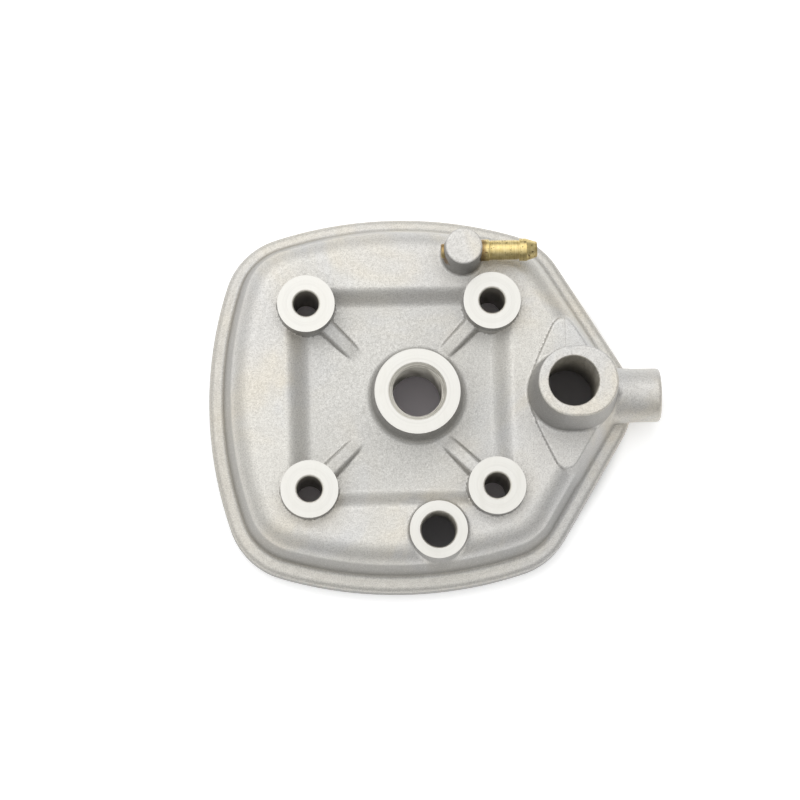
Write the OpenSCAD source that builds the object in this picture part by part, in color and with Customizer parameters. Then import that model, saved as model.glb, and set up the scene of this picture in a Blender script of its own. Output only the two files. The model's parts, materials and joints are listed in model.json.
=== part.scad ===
// Cylinder head of a small water-cooled two-stroke engine: a die-cast body with an open water jacket
// below, four stud bosses, a spark plug boss, a sensor boss, a coolant outlet, a hose stub, a bleed
// nipple and the O-rings of the gasket face.
// Frame: origin at the middle of the stud pattern on the gasket face, +X towards the hose stub,
// +Z up towards the spark plug. Millimetres.

/* [Rim] */
// Reach of the bulged side away from the nose, from the stud centre
left_x = 49.8; // [48:0.1:52]
// Half of the width across the other two bulged sides
half_y = 49.4; // [48:0.1:52]
// Bulge radius of the side away from the nose
left_r = 102; // [90:1:130]
// Bulge radius of the other two sides
side_r = 107; // [95:1:130]
// Radius that rounds every corner of the rim
corner_r = 19.4; // [16:0.1:22]
// Where the two straight edges of the nose would meet
nose_x = 64.3; // [62:0.1:66]
// Angle of the nose edges from the Y axis
nose_angle = 31.25; // [29:0.25:34]
// Thickness of the rim flange
rim_h = 6; // [5:0.5:8]

/* [Roof] */
// Height of the water jacket roof
roof_z = 18; // [17:0.5:20]
// Distance from the rim's edge to the foot of the roof's side
roof_foot = 3.6; // [3:0.1:4.5]
// Distance from the rim's edge to the flat of the roof
roof_edge = 8.6; // [7.5:0.1:9.5]
// Height of the sunken square floor between the studs
floor_z = 15; // [14:0.5:16]
// Half width of the sunken floor
floor_half = 23.2; // [22:0.1:24]
// Half width of the sunken square at the roof
pan_half = 29.2; // [27.5:0.1:30]
// Rise of the crowned floor at its middle
crown_h = 1.1; // [0.5:0.1:1.5]

/* [Studs] */
// Spacing of the four studs, both ways
stud_pitch = 48; // [46:0.5:50]
// Radius of the stud holes
stud_hole_r = 3.3; // [3.1:0.05:3.6]
// Radius of the machined stud faces
stud_boss_r = 7.4; // [7:0.1:8]
// Height of the machined stud faces
stud_z = 22; // [21:0.5:23]
// Width of the diagonal ribs
rib_w = 3.4; // [2.5:0.1:4]
// Distance from the stud centre to the tip of its rib
rib_reach = 17.4; // [15:0.1:19]

/* [Spark plug] */
// Plug axis along X
plug_x = 4.1; // [3:0.1:5]
// Plug axis along Y
plug_y = 0.4; // [-1:0.1:1]
// Height of the plug's seat
plug_z = 24; // [23:0.5:25]
// Radius of the machined plug seat
plug_seat_r = 11; // [10.5:0.1:11.5]
// Wall radius of the plug thread, an M14 x 1.25 core
plug_thread_r = 6.35; // [6.3:0.05:6.45]
// Radius of the cylinder bore that the squish band faces
bore_r = 20; // [18:0.5:21]
// Height of the combustion chamber's top
chamber_z = 9; // [8:0.5:10]
// Radius of the combustion chamber's bowl at its mouth
chamber_r = 14; // [12:0.5:15]

/* [Sensor] */
// Sensor boss along X
sensor_x = 8.8; // [8:0.1:10]
// Sensor boss along Y
sensor_y = -34.9; // [-36:0.1:-34]
// Height of the sensor boss
sensor_z = 21; // [20:0.5:22]
// Wall radius of the sensor thread, an M10 x 1 core
sensor_thread_r = 4.5; // [4.4:0.05:4.6]

/* [Coolant outlet and hose stub] */
// Outlet axis along X
outlet_x = 43.2; // [42:0.1:44]
// Outlet axis along Y
outlet_y = 0.4; // [0:0.1:1]
// Height of the outlet
outlet_z = 36.5; // [34:0.5:38]
// Radius of the outlet's hole
outlet_hole_r = 6.4; // [6:0.1:6.8]
// Radius of the outlet's top
outlet_r = 9; // [8.6:0.1:9.4]
// How far the outlet's top is drawn out towards the stub
outlet_draw = 2.3; // [1.5:0.1:3]
// End of the hose stub along X
stub_end_x = 67.8; // [66:0.1:70]
// Radius of the hose stub
stub_r = 7; // [6.6:0.1:7.4]
// Hose stub axis along Y
stub_y = 0.4; // [0:0.1:0.8]
// Height of the hose stub's axis
stub_z = 9; // [8:0.1:10]
// Radius of the hose stub's bore
stub_bore_r = 4.6; // [4:0.1:5]

/* [Bleed] */
// Bleed boss along X
bleed_x = 16.7; // [15:0.1:18]
// Bleed boss along Y
bleed_y = 36.9; // [36:0.1:38]
// Height of the bleed boss
bleed_z = 29.5; // [29:0.5:31]
// Radius of the bleed boss at its top
bleed_r = 4.7; // [4.5:0.1:5]
// Height of the brass nipple's axis
nipple_z = 23; // [22.5:0.1:24]
// Radius of the nipple's barrel
nipple_r = 2.55; // [2.4:0.05:2.7]

/* [Seals] */
// Section diameter of the chamber and stud O-rings
small_ring_d = 1.8; // [1.6:0.1:2]
// Section width and height of the jacket O-ring
jacket_ring_d = 2.4; // [2:0.1:2.6]
// Radius of the chamber O-ring, to the middle of its section
chamber_ring_r = 23.4; // [23:0.1:24]
// Radius of each stud O-ring, to the middle of its section
stud_ring_r = 5.4; // [5.2:0.1:5.6]
// Distance from the rim's edge to the middle of the jacket O-ring
jacket_ring_inset = 4.4; // [4.2:0.1:4.8]

/* [Hidden] */
$fn = 96;
eps = 0.01;
far = 200;                     // longer than anything in the part
rim_shift_y = -0.3;            // the rim sits this far off the stud centre
roof_shift_y = 0.3;            // and the roof this far
wall_mouth = 8;                // rim edge to the jacket's mouth
wall_top = 11;                 // rim edge to the jacket's wall under the roof
roof_t = 4;                    // roof thickness
stud_half = stud_pitch / 2;
stud_places = [[-1, 1], [1, 1], [-1, -1], [1, -1]];
boss_draft = 0.5;              // growth of a stud or sensor boss from its top to z = 0
plug_base_r = plug_seat_r + 1.1;
outlet_base_r = outlet_r + 1.4;
bleed_base_r = bleed_r + 0.6;
pad_h = 0.6;                   // diamond pad above the roof
pad_half_x = 13;               // from the pad's middle to its blunt corners
pad_half_y = pad_half_x / tan(nose_angle);
pad_tip_r = 2;
pad_shift_x = -0.4;            // from the outlet's axis to the pad's middle
rib_h = 2.6;                   // height of a rib where it leaves its boss
squish_h = 0.6;
base_ring_r = 27;              // land around the combustion chamber
base_ring_h = 6;
dome_t = 5;                    // thickness of the chamber's dome
chamber_h = chamber_z - squish_h;
dome_r = (chamber_r * chamber_r + chamber_h * chamber_h) / (2 * chamber_h);
dome_z = chamber_z - dome_r;
sensor_boss_r = 7.4;
sensor_depth = 10;             // from the sensor boss's face to the end of its thread
outlet_depth = 24.5;           // from the outlet's top to the end of its hole
outlet_inner_r = 9;            // inner end of the outlet, inside the jacket
stub_seat_x = stub_end_x - 6.8;    // where the hose's seat on the stub begins
crossbore_r = 2.2;
crossbore_in_x = bleed_x - 2.2;    // inner end of the wide stretch of the cross drilling
plug_bore_r = 1.85;
press = 0.05;                  // what a pressed-in brass piece is larger than its hole, on the radius
tail_x = bleed_x + 1.7;        // inner end of the nipple
collar_x = bleed_x + 4.6;      // where the nipple's collar seats
collar_end_x = bleed_x + 6.8;
barb_x = bleed_x + 14.6;
barb_end_x = bleed_x + 16.5;
nipple_end_x = bleed_x + 19.1;
collar_r = nipple_r + 0.25;
barb_r = nipple_r + 0.35;
nipple_tip_r = 1.95;
nipple_bore_r = 1.15;
groove_squeeze = 0.05;         // each groove is this much tighter than its ring on every side

CAST = [0.80, 0.79, 0.77];
BRASS = [0.80, 0.64, 0.28];
RUBBER = [0.10, 0.10, 0.10];

// Outline of the rim, moved inwards by inset
module outline(inset) {
    core_x = nose_x - corner_r / cos(nose_angle);
    offset(r = corner_r - inset) intersection() {
        translate([left_r - left_x, 0]) circle(left_r - corner_r);
        translate([0, half_y - side_r]) circle(side_r - corner_r);
        translate([0, side_r - half_y]) circle(side_r - corner_r);
        polygon([[core_x, 0], [core_x - far * tan(nose_angle), far], [-far, far],
                 [-far, -far], [core_x - far * tan(nose_angle), -far]]);
    }
}

// One slice of the outline, for building a tapered body with hull()
module slice(inset, z) {
    translate([0, 0, z]) linear_extrude(eps) outline(inset);
}

// Square with rounded corners, centred on the studs
module rounded_square(half, r) {
    offset(r = r) square(2 * (half - r), center = true);
}

module at_studs() {
    for (p = stud_places) translate([p[0] * stud_half, p[1] * stud_half, 0]) children();
}

// Body of the roof outside, from inside the flange up
module roof_body() {
    translate([0, roof_shift_y, 0]) hull() {
        slice(roof_foot, 1);
        slice(roof_foot + 0.2, rim_h);
        slice(roof_edge - 2.2, roof_z - 2);
        slice(roof_edge - 1.2, roof_z - 0.6);
        slice(roof_edge, roof_z - eps);
    }
}

// Sunken square between the studs, to be cut from the roof
module pan() {
    hull() {
        translate([0, 0, floor_z]) linear_extrude(eps) rounded_square(floor_half, 3);
        translate([0, 0, roof_z]) linear_extrude(1) rounded_square(pan_half, 6);
    }
}

// Crowned middle of the sunken floor
module crown() {
    sphere_r = (floor_half * floor_half + crown_h * crown_h) / (2 * crown_h);
    intersection() {
        translate([0, 0, floor_z + crown_h - sphere_r]) sphere(sphere_r, $fn = 180);
        translate([0, 0, floor_z - 2]) cylinder(r = floor_half, h = 4);
    }
}

// Water jacket, open at the gasket face
module jacket() {
    hull() {
        translate([0, 0, -1]) linear_extrude(1) outline(wall_mouth);
        slice(wall_top, roof_z - roof_t);
    }
}

// Rib from one stud boss down to the sunken floor, along +X before it is turned
module rib() {
    translate([0, rib_w / 2, 0]) rotate([90, 0, 0]) linear_extrude(rib_w)
        polygon([[0, floor_z - 2], [rib_reach, floor_z - 2], [rib_reach, floor_z],
                 [rib_reach - 2.2, floor_z + 0.9], [stud_boss_r, floor_z + rib_h], [0, floor_z + rib_h]]);
}

// Raised diamond that carries the outlet
module outlet_pad() {
    translate([outlet_x + pad_shift_x, 0, roof_z - 3]) linear_extrude(3 + pad_h)
        offset(r = pad_tip_r) offset(delta = -pad_tip_r)
            polygon([[pad_half_x, 0], [0, pad_half_y], [-pad_half_x, 0], [0, -pad_half_y]]);
}

module outlet_boss() {
    translate([outlet_x, outlet_y, roof_z - 2]) hull() for (x = [0, outlet_draw])
        translate([x, 0, 0]) cylinder(r1 = outlet_base_r, r2 = outlet_r, h = outlet_z - roof_z + 2, $fn = 48);
}

module bleed_boss() {
    edge = 0.8;
    translate([bleed_x, bleed_y, 0]) {
        translate([0, 0, roof_z - 5]) cylinder(r1 = bleed_base_r, r2 = bleed_r, h = bleed_z - roof_z + 5 - edge);
        translate([0, 0, bleed_z - edge]) cylinder(r1 = bleed_r, r2 = bleed_r - edge, h = edge);
    }
}

module hose_stub() {
    root_x = 51;
    edge = 0.8;
    module along_x(x0, x1, r0, r1) {
        translate([x0, stub_y, stub_z]) rotate([0, 90, 0]) cylinder(r1 = r0, r2 = r1, h = x1 - x0);
    }
    along_x(root_x, stub_seat_x, stub_r + 0.4, stub_r + 0.2);
    along_x(stub_seat_x, stub_end_x - edge, stub_r, stub_r);
    along_x(stub_end_x - edge, stub_end_x, stub_r, stub_r - edge);
}

// Everything that stands on or hangs inside the shell
module bosses() {
    at_studs() cylinder(r1 = stud_boss_r + boss_draft, r2 = stud_boss_r, h = stud_z);
    for (p = stud_places) translate([p[0] * stud_half, p[1] * stud_half, 0])
        rotate([0, 0, atan2(-p[1], -p[0])]) rib();
    translate([plug_x, plug_y, chamber_z - 2])
        cylinder(r1 = plug_base_r + 0.6, r2 = plug_base_r, h = floor_z - chamber_z + 2);
    translate([plug_x, plug_y, floor_z]) cylinder(r1 = plug_base_r, r2 = plug_seat_r, h = plug_z - floor_z);
    translate([sensor_x, sensor_y, roof_z - 2])
        cylinder(r1 = sensor_boss_r + 0.3, r2 = sensor_boss_r, h = sensor_z - roof_z + 2);
    translate([sensor_x, sensor_y, sensor_z - sensor_depth])
        cylinder(r = sensor_thread_r + 2, h = sensor_depth - 2);
    translate([outlet_x, outlet_y, outlet_z - outlet_depth]) cylinder(r = outlet_inner_r, h = outlet_depth - roof_t);
    outlet_pad();
    outlet_boss();
    bleed_boss();
    hose_stub();
}

// Chamber land, dome and the ceiling under the sunken floor
module chamber_body() {
    cylinder(r = base_ring_r, h = base_ring_h);
    translate([0, 0, floor_z - roof_t]) linear_extrude(roof_t - 1) rounded_square(pan_half, 6);
    intersection() {
        translate([plug_x, plug_y, dome_z]) sphere(dome_r + dome_t);
        translate([plug_x, plug_y, 1]) cylinder(r = chamber_r + dome_t, h = floor_z - 2);
    }
}

// Drilled bores, threads and their chamfers
module bores() {
    at_studs() {
        translate([0, 0, -1]) cylinder(r = stud_hole_r, h = stud_z + 2);
        translate([0, 0, stud_z - 0.45]) cylinder(r1 = stud_hole_r, r2 = stud_hole_r + 0.5, h = 0.5);
    }
    translate([plug_x, plug_y, dome_z]) sphere(dome_r);
    translate([0, 0, -1]) cylinder(r = bore_r, h = 1 + squish_h);
    translate([plug_x, plug_y, chamber_z - 2]) cylinder(r = plug_thread_r, h = plug_z);
    translate([plug_x, plug_y, plug_z - 0.95]) cylinder(r1 = plug_thread_r, r2 = plug_thread_r + 1, h = 1);
    translate([sensor_x, sensor_y, sensor_z - sensor_depth - 1]) cylinder(r = sensor_thread_r, h = sensor_depth + 2);
    translate([sensor_x, sensor_y, sensor_z - 0.45])
        cylinder(r1 = sensor_thread_r, r2 = sensor_thread_r + 0.5, h = 0.5);
    translate([outlet_x, outlet_y, outlet_z - outlet_depth - 1]) cylinder(r = outlet_hole_r, h = outlet_depth + 2);
    translate([outlet_x, stub_y, stub_z]) rotate([0, 90, 0]) cylinder(r = stub_bore_r, h = far);
}

// Cross drilling of the bleed boss and the port that feeds it from the jacket
module bleed_drilling() {
    translate([0, bleed_y, nipple_z]) rotate([0, 90, 0]) {
        cylinder(r = plug_bore_r, h = bleed_x);
        translate([0, 0, crossbore_in_x]) cylinder(r = crossbore_r, h = 2 * bleed_base_r);
        translate([0, 0, collar_x]) cylinder(r = collar_r + 0.03, h = bleed_base_r);
    }
    port_r = 1.5;
    translate([bleed_x, bleed_y, roof_z - roof_t - 4]) cylinder(r = port_r, h = nipple_z - roof_z + roof_t + 4);
}

// Ring-shaped cut that holds a round O-ring
module ring_groove(ring_r) {
    w = small_ring_d - 2 * groove_squeeze;
    translate([0, 0, -1]) difference() {
        cylinder(r = ring_r + w / 2, h = 1 + small_ring_d - groove_squeeze);
        translate([0, 0, -1]) cylinder(r = ring_r - w / 2, h = 5);
    }
}

// Band that follows the rim between two insets
module rim_band(inset, width, z, h) {
    translate([0, 0, z]) linear_extrude(h) difference() {
        outline(inset - width / 2);
        outline(inset + width / 2);
    }
}

module head_casting() {
    groove_w = jacket_ring_d - 2 * groove_squeeze;
    color(CAST) difference() {
        union() {
            difference() {
                union() {
                    translate([0, rim_shift_y, 0]) linear_extrude(rim_h) outline(0);
                    difference() {
                        roof_body();
                        pan();
                    }
                }
                jacket();
            }
            chamber_body();
            crown();
            bosses();
        }
        bores();
        bleed_drilling();
        ring_groove(chamber_ring_r);
        at_studs() ring_groove(stud_ring_r);
        rim_band(jacket_ring_inset, groove_w, -1, 1 + jacket_ring_d - groove_squeeze);
    }
}

// Barbed brass hose nipple, pressed into the bleed boss
module bleed_nipple() {
    color(BRASS) translate([0, bleed_y, nipple_z]) rotate([0, 90, 0]) rotate_extrude()
        polygon([[nipple_bore_r, tail_x], [crossbore_r + press, tail_x], [crossbore_r + press, collar_x],
                 [collar_r, collar_x], [collar_r, collar_end_x], [nipple_r, collar_end_x],
                 [nipple_r, barb_x], [barb_r, barb_x], [barb_r, barb_end_x],
                 [nipple_tip_r, nipple_end_x], [nipple_bore_r, nipple_end_x]]);
}

// Brass plug that closes the other end of the cross drilling
module bleed_bore_plug() {
    proud = 5.65;
    color(BRASS) translate([bleed_x - proud, bleed_y, nipple_z]) rotate([0, 90, 0])
        cylinder(r = plug_bore_r + press, h = crossbore_in_x - bleed_x + proud);
}

// Round O-ring that lies flush in its groove
module round_ring(ring_r) {
    translate([0, 0, small_ring_d / 2]) rotate_extrude() translate([ring_r, 0]) circle(d = small_ring_d, $fn = 48);
}

module chamber_o_ring() {
    color(RUBBER) round_ring(chamber_ring_r);
}

module stud_o_ring(i) {
    color(RUBBER) translate([stud_places[i][0] * stud_half, stud_places[i][1] * stud_half, 0])
        round_ring(stud_ring_r);
}

// Seal that follows the rim, with an eight-sided section
module jacket_o_ring() {
    bevel = jacket_ring_d * 0.3;
    color(RUBBER) {
        rim_band(jacket_ring_inset, jacket_ring_d, bevel, jacket_ring_d - 2 * bevel);
        rim_band(jacket_ring_inset, jacket_ring_d - bevel, 0, jacket_ring_d);
    }
}

head_casting();
bleed_nipple();
bleed_bore_plug();
chamber_o_ring();
jacket_o_ring();
stud_o_ring(0);  // stud_o_ring_1
stud_o_ring(1);  // stud_o_ring_2
stud_o_ring(2);  // stud_o_ring_3
stud_o_ring(3);  // stud_o_ring_4
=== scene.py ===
"""Cylinder head of a small water-cooled two-stroke engine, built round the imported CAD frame.

The casting is one closed form, described as a distance field in millimetres, turned into a mesh, and
then machined with cutters, as the real one is. The brass pieces and the O-rings are turned profiles.
"""
import json
import math

import bpy
import numpy as np
from mathutils import Matrix, Vector


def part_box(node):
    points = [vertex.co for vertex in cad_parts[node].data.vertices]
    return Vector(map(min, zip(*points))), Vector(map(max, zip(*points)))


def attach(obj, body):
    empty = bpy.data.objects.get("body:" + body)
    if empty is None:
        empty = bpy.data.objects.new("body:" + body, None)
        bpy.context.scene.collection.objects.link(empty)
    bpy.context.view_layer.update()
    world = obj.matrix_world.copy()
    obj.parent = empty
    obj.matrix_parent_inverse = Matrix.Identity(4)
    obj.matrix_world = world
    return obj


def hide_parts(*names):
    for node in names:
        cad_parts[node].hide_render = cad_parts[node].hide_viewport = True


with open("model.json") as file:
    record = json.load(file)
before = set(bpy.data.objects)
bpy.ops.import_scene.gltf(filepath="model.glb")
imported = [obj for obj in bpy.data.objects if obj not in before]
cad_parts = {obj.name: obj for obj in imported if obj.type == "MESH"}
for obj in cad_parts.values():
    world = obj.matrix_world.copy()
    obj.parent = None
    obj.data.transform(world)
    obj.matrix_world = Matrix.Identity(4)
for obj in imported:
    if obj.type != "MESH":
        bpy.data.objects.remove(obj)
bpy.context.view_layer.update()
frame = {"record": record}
MM = 0.001


# ------ sizes, in millimetres

def mount(name):
    """One of the record's mounts."""
    return next(m for m in frame["record"]["mounts"] if m["name"] == name)


def spot(name):
    """Place of a mount."""
    return [v / MM for v in mount(name)["pos_m"]]


def mount_size(name, key):
    """Size of a mount, in mm."""
    return mount(name)["dims"][key]


def node_box(node):
    """Lowest and highest corner of a CAD node."""
    low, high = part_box(node)
    return [v / MM for v in low], [v / MM for v in high]


HEAD_LOW, HEAD_HIGH = node_box("head_casting")

# Stud bosses, with the ribs that fall from them towards the spark plug
STUD = mount_size("stud_holes", "spacing_x_mm") / 2
STUD_PLACES = [(-STUD, STUD), (STUD, STUD), (-STUD, -STUD), (STUD, -STUD)]
STUD_HOLE_R = mount_size("stud_holes", "hole_r_mm")
STUD_Z, STUD_R, STUD_BASE_R = 22.0, 7.4, 7.9
CHAMFER = 0.35
FACING_R, PLUG_FACING_R = 8.8, 12.6
RIB_TOP, RIB_FALL = 17.7, 0.195
RIB_HALF, RIB_FLARE, RIB_REACH = 1.7, 0.28, 20.0

# Spark plug and sensor bosses
PLUG_X, PLUG_Y = spot("plug_thread")[:2]
PLUG_Z = spot("plug_seat")[2]
PLUG_R, PLUG_BASE_R = 11.0, 12.2
PLUG_THREAD_R = mount_size("plug_thread", "r_mm")
PLUG_PITCH, PLUG_THREAD_H = 1.25, 0.6
PLUG_MOUTH, PLUG_SINK = 1.15, 0.8
SENSOR_X, SENSOR_Y = spot("sensor_thread")[:2]
SENSOR_Z, SENSOR_R, SENSOR_BASE_R = 21.0, 7.4, 7.7
SENSOR_THREAD_R = mount_size("sensor_thread", "r_mm")
SENSOR_PITCH, SENSOR_THREAD_H, SENSOR_DEPTH = 1.0, 0.5, 10.0

# Outlet, its pad, and the hose stub
OUTLET_X, OUTLET_Y = spot("outlet_bore")[:2]
OUTLET_Z, OUTLET_R, OUTLET_BASE_R, OUTLET_DRAW = HEAD_HIGH[2], 9.0, 10.4, 2.3
OUTLET_HOLE_R = mount_size("outlet_bore", "r_mm")
PAD_EAST, PAD_WEST, PAD_CUT_X, PAD_ANGLE = 56.2, 31.0, 32.5, math.radians(25.3)
PAD_TIP_R, PAD_H = 5.5, 0.65
STUB_END = HEAD_HIGH[0]
STUB_Y, STUB_Z = spot("hose_stub")[1:]
STUB_R = mount_size("hose_stub", "r_mm")
STUB_BORE_R = mount_size("stub_bore", "r_mm")
STUB_SWELL, STUB_SWELL_X, STUB_SWELL_RUN, STUB_ROOT_X = 0.3, 61.5, 6.0, 50.0

# Bleed boss, nipple and plug of the cross drilling
TAIL_X, MOUTH_X = (corner[0] for corner in node_box("bleed_nipple"))
BLEED_Y, NIPPLE_Z = spot("nipple_barb")[1:]
BLEED_X = TAIL_X - 1.7
BLEED_Z, BLEED_R, BLEED_BASE_R = 29.5, 4.7, 5.4
COLLAR_X = BLEED_X + 4.6
BARB_R = mount_size("nipple_barb", "r_mm")
NIPPLE_R = BARB_R - 0.35
NIPPLE_BORE_R, NIPPLE_TAIL_R = 1.15, 2.2
PLUG_TIP_X, PLUG_END_X = (corner[0] for corner in node_box("bleed_bore_plug"))
PORT_R, CROSS_R, PLUG_HOLE_R = 1.5, 2.2, 1.85

# Rim, roof with its sunken square, and water jacket
CORNER_R, NOSE_ANGLE = 19.4, math.radians(31.25)
LEFT_X, LEFT_R = -HEAD_LOW[0], 102.0
HALF_Y, SIDE_R = (HEAD_HIGH[1] - HEAD_LOW[1]) / 2, 107.0
RIM_Y = (HEAD_HIGH[1] + HEAD_LOW[1]) / 2
NOSE_X, RIM_H = 64.3, 6.0
ROOF_Y, ROOF_Z, FLOOR_Z, ROOF_T = 0.3, 18.0, 15.0, 4.0
ROOF_INSET, ROOF_DRAFT = 3.6, 0.28
PAN_HALF_X, PAN_HALF_Y, PAN_CORNER = 20.0, 21.15, 1.22
PAN_EDGE, PAN_SLOPE_RUN = 3.0, 6.6
CROWN_H, CROWN_R = 1.9, 23.2
JACKET_INSET, JACKET_DRAFT = 8.0, 0.214

# Combustion chamber and the land round it
BOWL_R, SQUISH_H, CHAMBER_Z, BORE_R = 14.0, 0.6, 9.0, 20.0
BOWL_H = CHAMBER_Z - SQUISH_H
DOME_R = (BOWL_R ** 2 + BOWL_H ** 2) / (2 * BOWL_H)
DOME_Z = CHAMBER_Z - DOME_R
DOME_T, LAND_R, LAND_H = 5.0, 27.0, 6.0

# O-rings, each slightly larger than its groove
RING_D, JACKET_RING_D, SQUEEZE = 1.8, 2.4, 0.05
CHAMBER_RING_R, STUD_RING_R, JACKET_RING_INSET = 23.4, 5.4, 4.4

# Radii of cast edges, and of the hollows where a form meets what it stands on
EDGE = {"roof": 4.4, "rim": 1.8, "rib": 0.6, "pad": 0.4, "outlet": 0.5, "bleed": 0.45, "stub": 0.9,
        "jacket": 2.0, "land": 1.2, "inner tube": 0.8}
FOOT = {"roof": 0.9, "stud": 0.3, "plug": 1.2, "sensor": 0.7, "pad": 0.25, "outlet": 0.8, "bleed": 0.8,
        "stub": 0.8, "dome": 1.5, "plug column": 1.0, "stud column": 1.2, "jacket": 1.2}


# ------ the rim's outline

class Outline:
    """The rim seen from above: a core of three big arcs and a pointed nose, rounded by CORNER_R."""

    def __init__(self):
        core_x = NOSE_X - CORNER_R / math.cos(NOSE_ANGLE)
        self.tip = np.array([core_x, 0.0])
        self.along = np.array([-math.sin(NOSE_ANGLE), math.cos(NOSE_ANGLE)])
        self.left = np.array([LEFT_R - LEFT_X, 0.0])
        self.top = np.array([0.0, HALF_Y - SIDE_R])
        self.left_r, self.top_r = LEFT_R - CORNER_R, SIDE_R - CORNER_R
        t = self.tip - self.top
        b = t @ self.along
        self.shoulder = self.tip + self.along * (-b + math.sqrt(b * b - t @ t + self.top_r ** 2))
        between = self.top - self.left
        gap = np.linalg.norm(between)
        reach = (self.left_r ** 2 - self.top_r ** 2 + gap * gap) / (2 * gap)
        unit = between / gap
        side = np.array([unit[1], -unit[0]]) * math.sqrt(self.left_r ** 2 - reach * reach)
        self.back = max(self.left + unit * reach + side, self.left + unit * reach - side, key=lambda p: p[1])

    def distance(self, x, y):
        """Distance to the rim, negative inside. The outline is the same on both sides of the X axis."""
        y = np.abs(y)
        ax, ay = x - self.tip[0], y - self.tip[1]
        length = np.linalg.norm(self.shoulder - self.tip)
        s = np.clip(ax * self.along[0] + ay * self.along[1], 0, length)
        nose = np.hypot(ax - s * self.along[0], ay - s * self.along[1])
        px, py = x - self.top[0], y - self.top[1]
        far_top = np.hypot(px, py)
        on_top = (px * self.shoulder[1] - px * self.top[1] <= py * self.shoulder[0]) \
            & (px * (self.back[1] - self.top[1]) >= py * self.back[0])
        top = np.where(on_top, np.abs(far_top - self.top_r), 1e3)
        qx, qy = x - self.left[0], y - self.left[1]
        far_left = np.hypot(qx, qy)
        on_left = qy * (self.left[0] - self.back[0]) <= -qx * self.back[1]
        left = np.where(on_left, np.abs(far_left - self.left_r), 1e3)
        corner = np.hypot(x - self.back[0], y - self.back[1])
        core = np.minimum(np.minimum(nose, corner), np.minimum(top, left))
        normal = ax * math.cos(NOSE_ANGLE) + ay * math.sin(NOSE_ANGLE)
        inside = (normal < 0) & (far_top < self.top_r) & (far_left < self.left_r)
        return np.where(inside, -core, core) - CORNER_R

    def walk(self, count=360):
        """Points and outward normals once round the core, anticlockwise, closed."""
        def arc(c, r, a, b, n):
            return [(c + r * np.array([math.cos(t), math.sin(t)]), t) for t in np.linspace(a, b, n)]

        n = count // 12
        a_shoulder = math.atan2(self.shoulder[1] - self.top[1], self.shoulder[0])
        a_back = math.atan2(self.back[1] - self.top[1], self.back[0])
        a_left = math.atan2(self.back[1], self.back[0] - self.left[0])
        half = arc(self.tip, 0, 0, NOSE_ANGLE, n)
        half += arc(self.shoulder, 0, NOSE_ANGLE, a_shoulder, n)
        half += arc(self.top, self.top_r, a_shoulder, a_back, 2 * n)[1:]
        half += arc(self.back, 0, a_back, a_left, n)[1:]
        half += arc(self.left, self.left_r, a_left, math.pi, n)[1:]
        points = np.array([p for p, _ in half])
        angles = np.array([t for _, t in half])
        points = np.concatenate([points, points[-2:0:-1] * [1, -1]])
        angles = np.concatenate([angles, -angles[-2:0:-1]])
        return points, np.stack([np.cos(angles), np.sin(angles)], 1)


OUTLINE = Outline()


# ------ the casting's form

def fillet(a, b, r):
    """Union of two distance fields with a hollow of radius r between them."""
    return np.maximum(r, np.minimum(a, b)) - np.hypot(np.maximum(r - a, 0), np.maximum(r - b, 0))


def rounded(a, b, r):
    """Where both fields are solid, with the edge between them rounded to radius r."""
    return np.minimum(-r, np.maximum(a, b)) + np.hypot(np.maximum(r + a, 0), np.maximum(r + b, 0))


def ease(t):
    """Smooth step from 0 to 1."""
    t = np.clip(t, 0, 1)
    return t * t * (3 - 2 * t)


def post(x, y, z, at, r_low, z_low, r_high, z_high, edge=None):
    """A tapered round boss, open downwards. Without an edge it stands 0.6 over its machined face."""
    taper = (r_low - r_high) / (z_high - z_low)
    side = (np.hypot(x - at[0], y - at[1]) - r_high - taper * (z_high - z)) / math.hypot(1, taper)
    return rounded(side, z - z_high, edge) if edge else np.maximum(side, z - z_high - 0.6)


def square(x, y):
    """Distance from the middle square, with corners that open out with the distance."""
    px, py = np.abs(x) - PAN_HALF_X, (np.abs(y) - PAN_HALF_Y) * PAN_CORNER
    return np.hypot(np.maximum(px, 0), np.maximum(py, 0)) + np.minimum(np.maximum(px, py), 0)


def diamond(x, y):
    """Distance to the outline of the outlet's pad: two flats follow the rim, two lean less."""
    y = np.abs(y)
    rimward = (x - PAD_EAST) * math.cos(NOSE_ANGLE) + y * math.sin(NOSE_ANGLE)
    inward = (PAD_WEST - x) * math.cos(PAD_ANGLE) + y * math.sin(PAD_ANGLE)
    return rounded(rounded(rimward, inward, PAD_TIP_R), PAD_CUT_X - x, 3.0)


def sunken_roof(x, y):
    """Height of the roof's top, how far each place is sunken from 0 to 1, and the sunken floor's crown."""
    sunken = 1 - ease((square(x, y) - PAN_EDGE) / PAN_SLOPE_RUN)
    crown = CROWN_H * np.maximum(0, 1 - (x * x + y * y) / CROWN_R ** 2) ** 2
    return ROOF_Z - (ROOF_Z - FLOOR_Z - crown) * sunken, sunken, crown


def stud_boss(x, y, z, at):
    """A stud boss and the rib that falls from it towards the spark plug."""
    boss = post(x, y, z, at, STUD_BASE_R, 0, STUD_R, STUD_Z)
    ux, uy = (-math.copysign(math.sqrt(0.5), v) for v in at)
    along = (x - at[0]) * ux + (y - at[1]) * uy
    across = np.abs((x - at[0]) * uy - (y - at[1]) * ux)
    crest = RIB_TOP - RIB_FALL * (along - STUD_R)
    flank = (across - RIB_HALF - RIB_FLARE * (crest - z)) / math.hypot(1, RIB_FLARE)
    rib = rounded(flank, (z - crest) / math.hypot(1, RIB_FALL), EDGE["rib"])
    rib = np.maximum(rib, np.maximum(-along, along - RIB_REACH))
    below_roof, nowhere = 12.0, 9.0
    return np.minimum(boss, np.where(z > below_roof, rib, nowhere))


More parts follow.
